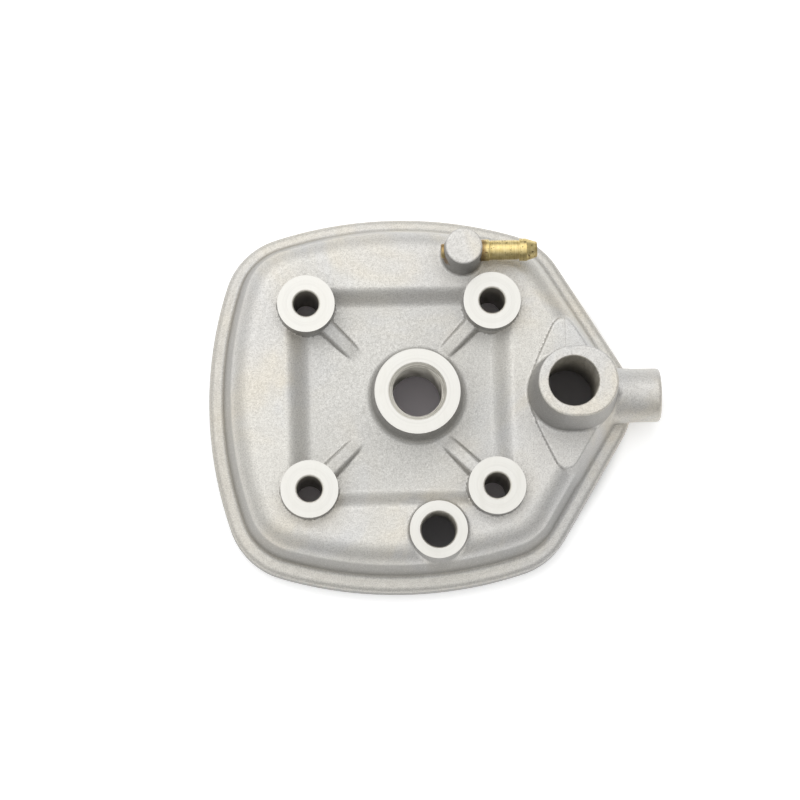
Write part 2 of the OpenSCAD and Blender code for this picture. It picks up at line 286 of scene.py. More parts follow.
def outlet_post(x, y, z):
    """The upright outlet, tapered and drawn out towards the hose stub."""
    along = np.clip(x - OUTLET_X, 0, OUTLET_DRAW)
    r = OUTLET_R + (OUTLET_BASE_R - OUTLET_R) * (OUTLET_Z - z) / (OUTLET_Z - ROOF_Z)
    return rounded(np.hypot(x - OUTLET_X - along, y - OUTLET_Y) - r, z - OUTLET_Z, EDGE["outlet"])


def hose_stub(x, y, z):
    """The level stub, slightly thicker towards its root."""
    r = STUB_R + STUB_SWELL * np.clip((STUB_SWELL_X - x) / STUB_SWELL_RUN, 0, 1)
    stub = rounded(np.hypot(y - STUB_Y, z - STUB_Z) - r, x - STUB_END, EDGE["stub"])
    return np.maximum(stub, STUB_ROOT_X - x)


def outside_form(x, y, z, rim, roof_top, sunken):
    """Distance to the casting as if it were solid."""
    lean = math.hypot(1, ROOF_DRAFT)
    side = (OUTLINE.distance(x, y - ROOF_Y) + ROOF_INSET + ROOF_DRAFT * (z - RIM_H)) / lean
    slope_share = 1 - 0.14 * (sunken > 0) * (sunken < 1)
    roof = rounded(side, (z - roof_top) * slope_share, EDGE["roof"])
    form = fillet(rounded(rim, z - RIM_H, EDGE["rim"]), roof, FOOT["roof"])
    for at in STUD_PLACES:
        form = fillet(form, stud_boss(x, y, z, at), FOOT["stud"])
    plug = post(x, y, z, (PLUG_X, PLUG_Y), PLUG_BASE_R, FLOOR_Z, PLUG_R, PLUG_Z)
    sensor = post(x, y, z, (SENSOR_X, SENSOR_Y), SENSOR_BASE_R, ROOF_Z, SENSOR_R, SENSOR_Z)
    pad = rounded((diamond(x, y) + ROOF_DRAFT * (z - ROOF_Z)) / lean, z - ROOF_Z - PAD_H, EDGE["pad"])
    bleed = post(x, y, z, (BLEED_X, BLEED_Y), BLEED_BASE_R, ROOF_Z, BLEED_R, BLEED_Z, EDGE["bleed"])
    form = fillet(fillet(form, plug, FOOT["plug"]), sensor, FOOT["sensor"])
    form = fillet(fillet(form, pad, FOOT["pad"]), outlet_post(x, y, z), FOOT["outlet"])
    return fillet(fillet(form, bleed, FOOT["bleed"]), hose_stub(x, y, z), FOOT["stub"])


def inner_walls(x, y, z):
    """Distance to what stands or hangs in the water jacket: chamber, columns and the roots of the bosses."""
    land = rounded(np.hypot(x, y) - LAND_R, z - LAND_H, EDGE["land"])
    dome = np.hypot(np.hypot(x - PLUG_X, y - PLUG_Y), z - DOME_Z) - DOME_R - DOME_T
    walls = fillet(land, np.maximum(dome, z - FLOOR_Z + 1), FOOT["dome"])
    plug = post(x, y, z, (PLUG_X, PLUG_Y), PLUG_BASE_R + 0.6, 7, PLUG_BASE_R, FLOOR_Z - 0.6)
    walls = fillet(walls, plug, FOOT["plug column"])
    for at in STUD_PLACES:
        column = post(x, y, z, at, STUD_BASE_R, 0, STUD_R + 0.1, ROOF_Z - 1.6)
        walls = fillet(walls, column, FOOT["stud column"])
    outlet = rounded(np.hypot(x - OUTLET_X, y - OUTLET_Y) - 9, 12 - z, EDGE["inner tube"])
    sensor_r = SENSOR_THREAD_R + 2
    sensor = rounded(np.hypot(x - SENSOR_X, y - SENSOR_Y) - sensor_r, 11 - z, EDGE["inner tube"])
    bleed = np.maximum(np.hypot(x - BLEED_X, y - BLEED_Y) - 3.2, 12.4 - z)
    for hanging in (outlet, sensor, bleed):
        walls = np.minimum(walls, np.maximum(hanging, z - ROOF_Z + 1.4))
    return walls


def forms(x, y, z):
    """Distances to the outside form and to what the water jacket leaves. The casting is where both are
    solid."""
    rim = OUTLINE.distance(x, y - RIM_Y)
    roof_top, sunken, crown = sunken_roof(x, y)
    ceiling = np.minimum(roof_top - crown * sunken, ROOF_Z) - ROOF_T
    jacket_side = (rim + JACKET_INSET + JACKET_DRAFT * z) / math.hypot(1, JACKET_DRAFT)
    jacket = rounded(jacket_side, (z - ceiling) * 0.92, EDGE["jacket"])
    hollow = fillet(-jacket, inner_walls(x, y, z), FOOT["jacket"])
    return outside_form(x, y, z, rim, roof_top, sunken), hollow


def casting(x, y, z):
    """Signed distance, in mm, to the casting before it is machined. Negative is metal."""
    return np.maximum(*forms(x, y, z))


def closed_body(x, y, z):
    """The casting, closed 1 mm below the gasket face, where the machining takes it away."""
    return np.maximum(casting(x, y, z), -1 - z)


def surface_net(field, low, high, step):
    """Closed quad mesh of the field's zero level, one point to each cell that the surface crosses."""
    axes = [np.arange(a, b + step, step, dtype=np.float32) for a, b in zip(low, high)]
    values = field(axes[0][:, None, None], axes[1][None, :, None], axes[2][None, None, :]).astype(np.float32)
    solid = values < 0
    count = np.zeros([n - 1 for n in solid.shape], np.int8)
    corners = [(i, j, k) for i in (0, 1) for j in (0, 1) for k in (0, 1)]

    def shifted(a, c):
        return a[c[0]:a.shape[0] - 1 + c[0], c[1]:a.shape[1] - 1 + c[1], c[2]:a.shape[2] - 1 + c[2]]

    for c in corners:
        count += shifted(solid, c)
    cells = np.argwhere((count > 0) & (count < 8))
    at_corner = {c: values[cells[:, 0] + c[0], cells[:, 1] + c[1], cells[:, 2] + c[2]] for c in corners}
    total = np.zeros((len(cells), 3))
    hits = np.zeros(len(cells))
    for a in corners:
        for axis in range(3):
            if a[axis]:
                continue
            b = tuple(1 if i == axis else a[i] for i in range(3))
            va, vb = at_corner[a], at_corner[b]
            crossed = (va < 0) != (vb < 0)
            t = np.where(crossed, va / np.where(crossed, va - vb, 1), 0)
            for i in range(3):
                total[:, i] += crossed * (a[i] + (t if i == axis else 0))
            hits += crossed
    points = np.array([a[0] for a in axes]) + (cells + total / hits[:, None]) * step
    index = np.full(count.shape, -1, np.int32)
    index[tuple(cells.T)] = np.arange(len(cells))
    faces = []
    for axis in range(3):
        u, v = (axis + 1) % 3, (axis + 2) % 3
        first = [slice(None)] * 3
        second = [slice(None)] * 3
        first[axis], second[axis] = slice(0, -1), slice(1, None)
        before, after = solid[tuple(first)], solid[tuple(second)]
        edges = np.argwhere(before != after)
        leaving = before[tuple(edges.T)]
        ring = []
        for du, dv in ((-1, -1), (0, -1), (0, 0), (-1, 0)):
            c = edges.copy()
            c[:, u] += du
            c[:, v] += dv
            ring.append(index[tuple(c.T)])
        quad = np.stack(ring, 1)
        faces.append(np.where(leaving[:, None], quad, quad[:, ::-1]))
    return points, np.concatenate(faces)


def slope(field, p, eps=0.02):
    """Gradient of the field at points p."""
    out = np.empty_like(p)
    for i in range(3):
        step = np.zeros(3)
        step[i] = eps
        out[:, i] = (field(*(p + step).T) - field(*(p - step).T)) / (2 * eps)
    return out


def settle(field, p, rounds, reach):
    """Moves points onto the field's zero level, each at most reach in a round."""
    for _ in range(rounds):
        g = slope(field, p)
        move = -field(*p.T)[:, None] * g / np.maximum((g * g).sum(1), 0.2)[:, None]
        size = np.maximum(np.linalg.norm(move, axis=1), 1e-9)
        p = p + move * np.minimum(1, reach / size)[:, None]
    return p


# ------ mesh helpers

def placed(name, data):
    """New object in the scene."""
    ob = bpy.data.objects.new(name, data)
    bpy.context.scene.collection.objects.link(ob)
    return ob


def new_object(name, points, faces, materials, material_of=None, smooth=None):
    """Mesh object from points in mm. smooth is the angle from which edges stay sharp."""
    mesh = bpy.data.meshes.new(name)
    mesh.from_pydata((np.asarray(points) * MM).tolist(), [], [list(map(int, f)) for f in faces])
    for m in materials:
        mesh.materials.append(m)
    if material_of is not None:
        mesh.polygons.foreach_set("material_index", np.asarray(material_of, np.int32))
    mesh.update()
    ob = placed(name, mesh)
    if smooth is not None:
        mesh.shade_smooth()
        mesh.set_sharp_from_angle(angle=math.radians(smooth))
    return ob


def turned(profile, axis="z", at=(0, 0, 0), steps=96, kinds=0, closed=False):
    """Points, faces and kinds of a body of revolution. The profile is (radius, height) from one end of
    the axis to the other, or a closed loop clear of the axis. kinds is one kind, or a list with one for
    each stretch."""
    ring = np.linspace(0, 2 * np.pi, steps, endpoint=False)
    points, rows = [], []
    for r, h in profile:
        if r < 1e-6:
            rows.append([len(points)] * steps)
            points.append((0, 0, h))
        else:
            rows.append(list(range(len(points), len(points) + steps)))
            points += [(r * math.cos(t), r * math.sin(t), h) for t in ring]
    faces, kind_of = [], []
    following = rows[1:] + rows[:1] if closed else rows[1:]
    for n, (a, b) in enumerate(zip(rows, following)):
        for i in range(steps):
            j = (i + 1) % steps
            faces.append(list(dict.fromkeys((a[i], a[j], b[j], b[i]))))
            kind_of.append(kinds[n] if isinstance(kinds, list) else kinds)
    points = np.array(points, float)
    if axis == "x":
        points = points[:, [2, 0, 1]]
    return points + np.array(at, float), faces, kind_of


def thread(at, core_r, height, z_low, z_high, pitch, mouth, sink, facing_r, steps=72):
    """Cutter for a threaded hole with its chamfer and faced seat. height is that of the turns, mouth and
    sink are the chamfer's width and depth."""
    slices, lead_in, undersize, flatten = 8, 1.6, 0.02, 1.25
    start, top = z_high - sink, z_high + 2
    points, rows = [], []

    def row(r_of, z):
        rows.append(list(range(len(points), len(points) + steps)))
        for i in range(steps):
            t = 2 * math.pi * i / steps
            r = r_of(t)
            points.append((r * math.cos(t), r * math.sin(t), z))

    def level(r):
        return lambda t: r

    def helix(z):
        def r_of(t):
            wave = 0.5 - 0.5 * math.cos(2 * math.pi * z / pitch - t)
            return core_r + height * min(1, flatten * wave)
        return r_of

    row(level(core_r - undersize), z_low - lead_in)
    row(level(core_r - undersize), z_low)
    count = int((start - z_low) / pitch * slices)
    for n in range(1, count + 1):
        z = z_low + (start - z_low) * n / count
        row(helix(z), z)
    row(level(core_r + mouth), z_high)
    row(level(facing_r), z_high)
    row(level(facing_r), top)
    low, high = len(points), len(points) + 1
    points += [(0, 0, z_low - lead_in), (0, 0, top)]
    faces, kinds = [], []
    for i in range(steps):
        j = (i + 1) % steps
        for n, (a, b) in enumerate(zip(rows, rows[1:])):
            faces.append([a[i], a[j], b[j], b[i]])
            kinds.append(FACED if n >= len(rows) - 3 else DRILLED)
        faces += [[low, rows[0][j], rows[0][i]], [high, rows[-1][i], rows[-1][j]]]
        kinds += [DRILLED, FACED]
    return np.array(points, float) + np.array([*at, 0.0]), faces, kinds


def swept(section, kind=0):
    """Body that follows the rim. The section is a loop of (inset from the rim, height)."""
    points, normals = OUTLINE.walk()
    n, m = len(points), len(section)
    verts = []
    for inset, z in section:
        verts += [(x, y + RIM_Y, z) for x, y in points + normals * (CORNER_R - inset)]
    faces = []
    for s in range(m):
        a, b = s * n, (s + 1) % m * n
        faces += [[a + i, a + (i + 1) % n, b + (i + 1) % n, b + i] for i in range(n)]
    return np.array(verts, float), faces, [kind] * len(faces)


def outward(body):
    """Turns a closed body's faces so that they look outwards."""
    points, faces, kinds = body
    volume = 0.0
    for f in faces:
        a = points[f[0]]
        for i in range(1, len(f) - 1):
            volume += np.dot(a, np.cross(points[f[i]], points[f[i + 1]]))
    return (points, [f[::-1] for f in faces], kinds) if volume < 0 else body


def together(bodies):
    """Several closed bodies as one mesh, each with its faces outwards."""
    points, faces, kinds = [], [], []
    for p, f, k in map(outward, bodies):
        base = sum(len(q) for q in points)
        points.append(p)
        faces += [[v + base for v in face] for face in f]
        kinds += k
    return np.concatenate(points), faces, kinds


# ------ materials

class Nodes:
    """Short way to write a node material."""

    def __init__(self, name):
        self.mat = bpy.data.materials.new(name)
        self.mat.use_nodes = True
        self.tree = self.mat.node_tree
        self.tree.nodes.clear()
        self.shader = self.add("BsdfPrincipled")
        self.link(self.shader.outputs[0], self.add("OutputMaterial").inputs[0])
        self.place = self.add("TexCoord").outputs["Object"]

    def add(self, kind, **settings):
        node = self.tree.nodes.new("ShaderNode" + kind)
        for key, value in settings.items():
            setattr(node, key, value)
        return node

    def link(self, a, b):
        self.tree.links.new(a, b)

    def noise(self, scale, detail, rough, stretch=None, warp=0.0):
        node = self.add("TexNoise")
        for key, value in (("Scale", scale), ("Detail", detail), ("Roughness", rough), ("Distortion", warp)):
            node.inputs[key].default_value = value
        source = self.moved(stretch=stretch) if stretch else self.place
        self.link(source, node.inputs["Vector"])
        return node.outputs["Fac"]

    def moved(self, shift=(0, 0, 0), stretch=(1, 1, 1)):
        node = self.add("Mapping")
        node.inputs["Location"].default_value = shift
        node.inputs["Scale"].default_value = stretch
        self.link(self.place, node.inputs["Vector"])
        return node.outputs[0]

    def split(self, vector):
        node = self.add("SeparateXYZ")
        self.link(vector, node.inputs[0])
        return node.outputs

    def joined(self, *values):
        node = self.add("CombineXYZ")
        for socket, value in zip(node.inputs, values):
            self.link(value, socket)
        return node.outputs[0]

    def length(self, vector):
        node = self.add("VectorMath", operation="LENGTH")
        self.link(vector, node.inputs[0])
        return node.outputs["Value"]

    def far_from(self, place):
        """Distance to a place given in millimetres."""
        node = self.add("VectorMath", operation="DISTANCE")
        self.link(self.place, node.inputs[0])
        node.inputs[1].default_value = [v * MM for v in place]
        return node.outputs["Value"]

    def math(self, operation, *values):
        node = self.add("Math", operation=operation)
        for socket, value in zip(node.inputs, values):
            if isinstance(value, (int, float)):
                socket.default_value = value
            else:
                self.link(value, socket)
        return node.outputs[0]

    def product(self, first, *others):
        for other in others:
            first = self.math("MULTIPLY", first, other)
        return first

    def span(self, value, low, high, to_low=0.0, to_high=1.0):
        """Smooth passage from to_low to to_high while the value goes from low to high."""
        node = self.add("MapRange", interpolation_type="SMOOTHSTEP")
        self.link(value, node.inputs[0])
        for socket, limit in zip(node.inputs[1:5], (low, high, to_low, to_high)):
            socket.default_value = limit
        return node.outputs[0]

    def band(self, value, low, high, to_low=0.0, to_high=1.0):
        """span between two limits given in millimetres."""
        return self.span(value, low * MM, high * MM, to_low, to_high)

    def mix(self, factor, a, b):
        """Colour socket a, covered by the colour b where the factor is 1."""
        node = self.add("Mix", data_type="RGBA")
        self.link(factor, node.inputs[0])
        self.link(a, node.inputs[6])
        node.inputs[7].default_value = (*b, 1)
        return node.outputs[2]

    def ramp(self, value, stops):
        node = self.add("ValToRGB")
        fill_ramp(node.color_ramp, stops)
        self.link(value, node.inputs[0])
        return node.outputs[0]

    def bump(self, height, strength, distance, after=None):
        node = self.add("Bump")
        node.inputs["Strength"].default_value = strength
        node.inputs["Distance"].default_value = distance
        self.link(height, node.inputs["Height"])
        if after:
            self.link(after, node.inputs["Normal"])
        return node.outputs[0]

    def done(self, color, roughness, metallic, normal):
        self.link(color, self.shader.inputs["Base Color"])
        self.link(roughness, self.shader.inputs["Roughness"])
        self.shader.inputs["Metallic"].default_value = metallic
        self.link(normal, self.shader.inputs["Normal"])
        return self.mat


def fill_ramp(color_ramp, stops):
    """Puts (place, colour) stops into a new ramp."""
    while len(color_ramp.elements) < len(stops):
        color_ramp.elements.new(0.5)
    for element, (at, colour) in zip(color_ramp.elements, stops):
        element.position = at
        element.color = (*colour, 1)


def skin_clouds(n):
    """Light grey with warm and cool patches."""
    cloud = n.noise(60, 4, 0.6)
    warmth = n.noise(24, 3, 0.6, stretch=(1, 1.3, 0.7), warp=0.6)
    cool = n.noise(31, 3, 0.6, stretch=(1.2, 1, 0.7), warp=0.6)
    greys = [(0.3, (0.625, 0.608, 0.57)), (0.5, (0.66, 0.643, 0.605)), (0.7, (0.69, 0.676, 0.64))]
    tone = n.mix(n.span(warmth, 0.42, 0.62, 0.0, 0.8), n.ramp(cloud, greys), (0.695, 0.652, 0.572))
    return n.mix(n.span(cool, 0.46, 0.62, 0.0, 0.55), tone, (0.62, 0.625, 0.64))


def tinted_and_shaded_skin(n, tone, x, y, z):
    """The skin's tone: a tan tint at the left and on the rim, painted shade in the crease at the roof wall's
    bottom and on near-upright walls, and painted shade on the sunken square's floor."""
    old = n.math("ADD", n.band(x, -54, -34, 0.45, 0.0), n.band(z, RIM_H, RIM_H + 0.1, 0.2, 0.0))
    tone = n.mix(old, tone, (0.575, 0.54, 0.475))
    # Half towards the near left, where the painted shade is full; it fades out towards the far right, which
    # the light reaches.
    shaded_half = n.band(n.math("ADD", x, y), 10, 50, 1.0, 0.0)
    # Dark brown line in the crease at the bottom of the roof wall, partly a brown tint and partly painted
    # shade: darkest just above the flange, stronger at the left.
    painted_crease_shade = n.product(n.band(z, RIM_H + 0.05, RIM_H + 0.6), n.band(z, RIM_H + 0.8, RIM_H + 4, 1.0, 0.0),
                     n.band(x, -36, -6, 0.7, 0.3), shaded_half)
    tone = n.mix(painted_crease_shade, tone, (0.41, 0.378, 0.322))
    facing_up = n.split(n.add("NewGeometry").outputs["Normal"])[2]
    above_roof = n.band(z, ROOF_Z - 1, ROOF_Z + 1)
    # Painted shade on near-upright walls, on the shaded half and round what stands above the roof.
    painted_wall_shade = n.product(n.span(facing_up, 0.15, 0.52, 0.72, 0.0), n.math("MAXIMUM", shaded_half, above_roof))
    tone = n.mix(painted_wall_shade, tone, (0.24, 0.235, 0.23))
    from_middle = n.math("MAXIMUM", n.math("ABSOLUTE", x), n.math("ABSOLUTE", y))
    # Painted shade on the floor of the sunken square.
    painted_recess_shade = n.product(n.band(from_middle, 23, 26, 0.6, 0.0), n.band(z, 17.5, 19, 1.0, 0.0))
    return n.mix(painted_recess_shade, tone, (0.53, 0.525, 0.51))


def parting_marks(n, x, y, z):
    """Fine lines left by the die: across the outlet's pad and rim, and across the flange."""
    across = n.math("ABSOLUTE", n.math("SUBTRACT", x, (OUTLET_X - 0.4) * MM))
    line = n.product(n.band(across, 0.04, 0.18, 1.0, 0.0), n.band(y, OUTLET_Y + 6.5, OUTLET_Y + 6.8),
                     n.band(z, ROOF_Z - 1, ROOF_Z))
    level = n.math("ABSOLUTE", n.math("SUBTRACT", y, 23.1 * MM))
    tick = n.product(n.band(level, 0.06, 0.3, 1.0, 0.0), n.band(x, 44, 44.5),
                     n.band(z, RIM_H, RIM_H + 1, 1.0, 0.0))
    return n.math("MAXIMUM", line, tick)


def cast_skin():
    """Die-cast skin as it leaves the blasting: fine sparkle over soft clouds, with a brown stain where the
    brass plug is."""
    n = Nodes("cast_skin")
    x, y, z = n.split(n.place)
    grain = n.noise(3000, 4, 0.75)
    pits = n.noise(1400, 3, 0.55)
    tone = tinted_and_shaded_skin(n, skin_clouds(n), x, y, z)
    tone = n.mix(n.span(grain, 0.40, 0.52, 0.42, 0.0), tone, (0.38, 0.37, 0.35))
    tone = n.mix(n.span(grain, 0.52, 0.64, 0.0, 0.4), tone, (0.77, 0.76, 0.73))
    marks = parting_marks(n, x, y, z)
    tone = n.mix(n.product(marks, 0.16), tone, (0.24, 0.22, 0.20))
    from_plug = n.far_from((PLUG_TIP_X, BLEED_Y - 1.2, NIPPLE_Z))
    spread = n.math("ADD", from_plug, n.product(n.noise(700, 4, 0.65), 5 * MM))
    tone = n.mix(n.band(spread, 4.6, 6.2, 0.9, 0.0), tone, (0.20, 0.125, 0.055))
    fine = n.bump(grain, 0.45, 0.06 * MM, n.bump(marks, 0.3, 0.1 * MM))
    return n.done(tone, n.span(pits, 0.3, 0.7, 0.52, 0.64), 0.9, n.bump(pits, 0.4, 0.14 * MM, fine))


def from_axes(n):
    """Distance to the nearest axis of the stud holes, the plug hole and the sensor hole."""
    x, y, _ = n.split(n.place)
    one_stud = (n.math("ABSOLUTE", x), n.math("ABSOLUTE", y), STUD, STUD)
    lengths = []
    for a, b, at_a, at_b in (one_stud, (x, y, PLUG_X, PLUG_Y), (x, y, SENSOR_X, SENSOR_Y)):
        offset = n.joined(n.math("SUBTRACT", a, at_a * MM), n.math("SUBTRACT", b, at_b * MM))
        lengths.append(n.length(offset))
    return n.math("MINIMUM", lengths[0], n.math("MINIMUM", lengths[1], lengths[2]))


def faced_metal():
    """A face left by a facing cutter: fine rings over a bright tone, with broad lighter and darker patches of
    painted sheen.
    """
    n = Nodes("faced_metal")
    rings = n.add("TexNoise")
    rings.inputs["Scale"].default_value = 1.0
    rings.inputs["Detail"].default_value = 3.0
    n.link(n.joined(n.product(from_axes(n), 2600), n.noise(90, 2, 0.5)), rings.inputs["Vector"])
    # Broad lighter and darker patches in the colour stand in for the facing's sheen: painted sheen. They also
    # vary the roughness.
    sheen_patches = n.noise(130, 3, 0.5, stretch=(1, 0.35, 1), warp=1.5)
    tone = n.ramp(sheen_patches, [(0.3, (0.53, 0.52, 0.49)), (0.7, (0.65, 0.64, 0.61))])
    tone = n.mix(n.span(rings.outputs["Fac"], 0.35, 0.5, 0.25, 0.0), tone, (0.48, 0.47, 0.445))
    rough = n.span(sheen_patches, 0.3, 0.7, 0.34, 0.46)
    return n.done(tone, rough, 0.9, n.bump(rings.outputs["Fac"], 0.3, 0.04 * MM))


def drilled_metal():
    """Walls of drilled holes and threads, with painted shade that deepens down the hole and a painted
    highlight on the chamfers at the top.
    """
    n = Nodes("drilled_metal")
    x, _, z = n.split(n.place)
    grain = n.noise(800, 4, 0.6)
    rings = n.math("SINE", n.product(from_axes(n), 15000))
    tone = n.ramp(grain, [(0.3, (0.50, 0.475, 0.42)), (0.7, (0.63, 0.605, 0.545))])
    tone = n.mix(n.span(rings, -1.0, 0.2, 0.4, 0.0), tone, (0.33, 0.31, 0.27))
    # Painted shade, deepening down the hole, with an uneven upper edge.
    shade_depth = n.math("ADD", z, n.product(n.noise(260, 3, 0.6), 6 * MM))
    tone = n.mix(n.band(shade_depth, 14, 24, 0.62, 0.0), tone, (0.18, 0.165, 0.15))
    # Painted highlight on the chamfers at the mouths of the plug hole and the stud holes.
    plug_lip_highlight = n.band(z, PLUG_Z - 0.9, PLUG_Z - 0.75, 0.0, 0.8)
    at_studs = n.math("GREATER_THAN", n.math("ABSOLUTE", x), 15 * MM)
    stud_lip_highlight = n.product(at_studs, n.band(z, STUD_Z - 0.45, STUD_Z - CHAMFER, 0.0, 0.85))
    tone = n.mix(n.math("MAXIMUM", plug_lip_highlight, stud_lip_highlight), tone, (0.84, 0.81, 0.73))
    return n.done(tone, n.span(grain, 0.3, 0.7, 0.38, 0.5), 0.55, n.bump(rings, 0.4, 0.06 * MM))


def cored_wall():
    """Walls left by cores: inside of the outlet and of the water jacket, with painted shade that deepens with
    depth.
    """
    n = Nodes("cored_wall")
    _, _, z = n.split(n.place)
    grain = n.noise(1400, 4, 0.65)
    drawn = n.noise(500, 3, 0.6, stretch=(1, 1, 0.12))
    tone = n.ramp(drawn, [(0.3, (0.56, 0.53, 0.465)), (0.7, (0.74, 0.71, 0.645))])
    tone = n.mix(n.span(grain, 0.4, 0.5, 0.4, 0.0), tone, (0.26, 0.24, 0.21))
    # Painted shade, darker deeper down.
    tone = n.mix(n.band(z, 14, 29, 0.78, 0.0), tone, (0.17, 0.16, 0.15))
    return n.done(tone, n.span(grain, 0.3, 0.7, 0.5, 0.65), 0.5, n.bump(grain, 0.5, 0.15 * MM))


def gasket_metal():
    """The gasket face: one straight lay of fine milling marks."""
    n = Nodes("gasket_metal")
    lay = n.noise(260, 3, 0.55, stretch=(0.03, 8, 1), warp=0.2)
    stain = n.noise(40, 4, 0.6)
    tone = n.ramp(stain, [(0.3, (0.70, 0.69, 0.675)), (0.7, (0.80, 0.795, 0.785))])
    return n.done(tone, n.span(lay, 0.3, 0.7, 0.28, 0.42), 0.95, n.bump(lay, 0.3, 0.06 * MM))


def brass_stain(n):
    """Brown residue where the brass meets the casting, and at the nipple's mouth."""
    x, y, _ = n.split(n.place)
    wander = n.product(n.noise(900, 3, 0.6), 1.2 * MM)
    joint = n.product(n.band(n.math("ADD", x, wander), BLEED_X + 5.8, BLEED_X + 6.9, 1.0, 0.0),
                      n.band(x, BLEED_X, BLEED_X + 1))
    seat = n.product(n.band(n.math("ADD", y, wander), BLEED_Y - 0.9, BLEED_Y + 1.1, 0.35, 1.0),
                     n.band(x, BLEED_X - 1, BLEED_X, 1.0, 0.0))
    mouth = n.band(n.math("SUBTRACT", x, wander), MOUTH_X - 1.3, MOUTH_X - 0.5, 0.0, 0.6)
    return n.math("MAXIMUM", n.math("MAXIMUM", joint, seat), mouth)


def brass_metal():
    """Turned brass with tool rings, small pits and residue."""
    n = Nodes("brass_metal")
    grain = n.noise(900, 4, 0.6)
    rings = n.noise(700, 2, 0.5, stretch=(6, 0.12, 0.12))
    tone = n.ramp(grain, [(0.3, (0.60, 0.475, 0.20)), (0.7, (0.77, 0.645, 0.33))])
    tone = n.mix(n.span(rings, 0.40, 0.52, 0.4, 0.0), tone, (0.42, 0.30, 0.11))
    tone = n.mix(n.span(n.noise(1500, 2, 0.5), 0.63, 0.70), tone, (0.10, 0.06, 0.03))
    tone = n.mix(n.product(brass_stain(n), 0.8), tone, (0.22, 0.13, 0.055))
    return n.done(tone, n.span(grain, 0.3, 0.7, 0.28, 0.44), 1.0, n.bump(rings, 0.35, 0.08 * MM))


def rubber():
    """Black nitrile with a faint bloom."""
    n = Nodes("nitrile_rubber")
    bloom = n.noise(120, 4, 0.6)
    tone = n.ramp(bloom, [(0.3, (0.018, 0.018, 0.019)), (0.7, (0.040, 0.040, 0.041))])
    grain = n.noise(1800, 3, 0.5)
    return n.done(tone, n.span(bloom, 0.3, 0.7, 0.38, 0.55), 0.0, n.bump(grain, 0.2, 0.05 * MM))


CAST, FACED, DRILLED, GASKET, WALL = range(5)
METALS = [cast_skin(), faced_metal(), drilled_metal(), gasket_metal(), cored_wall()]
BRASS, RUBBER = brass_metal(), rubber()


# ------ machining

def slab():
    """Cutter for everything below the gasket face."""
    corners = [(x, y, z) for z in (-9, 0) for y in (-80, 80) for x in (-80, 90)]
    faces = [[0, 2, 3, 1], [4, 5, 7, 6], [0, 1, 5, 4], [2, 6, 7, 3], [0, 4, 6, 2], [1, 3, 7, 5]]
    return np.array(corners, float), faces, [GASKET] * 6


def stud_hole(place):
    """Cutter for a stud hole, chamfered at both ends, and for the face of its boss."""
    wide, top = STUD_HOLE_R + CHAMFER, STUD_Z + 2
    profile = [(0, -2), (wide, -2), (wide, 0), (STUD_HOLE_R, CHAMFER), (STUD_HOLE_R, STUD_Z - CHAMFER),
               (wide, STUD_Z), (FACING_R, STUD_Z), (FACING_R, top), (0, top)]
    return turned(profile, at=(*place, 0), steps=64, kinds=[DRILLED] * 5 + [FACED] * 3)


def plug_hole():
    """Cutter for the spark plug's thread and seat."""
    return thread((PLUG_X, PLUG_Y), PLUG_THREAD_R, PLUG_THREAD_H, CHAMBER_Z - 0.6, PLUG_Z, PLUG_PITCH,
                  PLUG_MOUTH, PLUG_SINK, PLUG_FACING_R)


def sensor_hole():
    """Cutter for the sensor's thread and seat."""
    return thread((SENSOR_X, SENSOR_Y), SENSOR_THREAD_R, SENSOR_THREAD_H, SENSOR_Z - SENSOR_DEPTH, SENSOR_Z,
                  SENSOR_PITCH, CHAMFER, CHAMFER, FACING_R, steps=60)


def bore(at, r, low, end, chamfer, kind, **shape):
    """Cutter for a plain bore with a chamfered mouth."""
    wide = r + chamfer
    profile = [(0, low), (r, low), (r, end - chamfer), (wide, end), (wide, end + 2), (0, end + 2)]
    return turned(profile, at=at, kinds=kind, **shape)


def squish_recess():
    """Cutter for the shallow recess round the chamber, with a small chamfer at its rim."""
    profile = [(0, -2), (BORE_R, -2), (BORE_R, SQUISH_H - 0.2), (BORE_R - 0.2, SQUISH_H), (0, SQUISH_H)]
    return turned(profile, kinds=FACED, steps=128)


def chamber_bowl():
    """Cutter for the chamber's dome, a part of a ball."""
    angles = np.linspace(-0.35, math.pi / 2, 40)[:-1]
    profile = [(0, DOME_Z + DOME_R * math.sin(angles[0]))]
    profile += [(DOME_R * math.cos(a), DOME_Z + DOME_R * math.sin(a)) for a in angles]
    profile.append((0, CHAMBER_Z))
    return turned(profile, at=(PLUG_X, PLUG_Y, 0), steps=128, kinds=FACED)


def bleed_port():
    """Cutter for the passage that leads up from the jacket to the cross drilling."""
    profile = [(0, 10), (PORT_R, 10), (PORT_R, NIPPLE_Z), (0, NIPPLE_Z)]
    return turned(profile, at=(BLEED_X, BLEED_Y, 0), steps=32, kinds=DRILLED)


def cross_drilling():
    """Cutter for the drilling through the bleed boss, with its plug's hole and room for the collar."""
    low, high, room = PLUG_TIP_X - 2, BLEED_X + 8, NIPPLE_R + 0.28
    shoulder = BLEED_X - CROSS_R
    profile = [(0, low), (PLUG_HOLE_R, low), (PLUG_HOLE_R, shoulder), (CROSS_R, shoulder),
               (CROSS_R, COLLAR_X), (room, COLLAR_X), (room, high), (0, high)]
    return turned(profile, axis="x", at=(0, BLEED_Y, NIPPLE_Z), steps=48, kinds=DRILLED)


def groove_section(at, size):
    """Loop round a groove's section, which is slightly smaller than its ring's."""
    half, top = size / 2 - SQUEEZE, size - SQUEEZE
    return [(at - half, -1), (at + half, -1), (at + half, top), (at - half, top)]


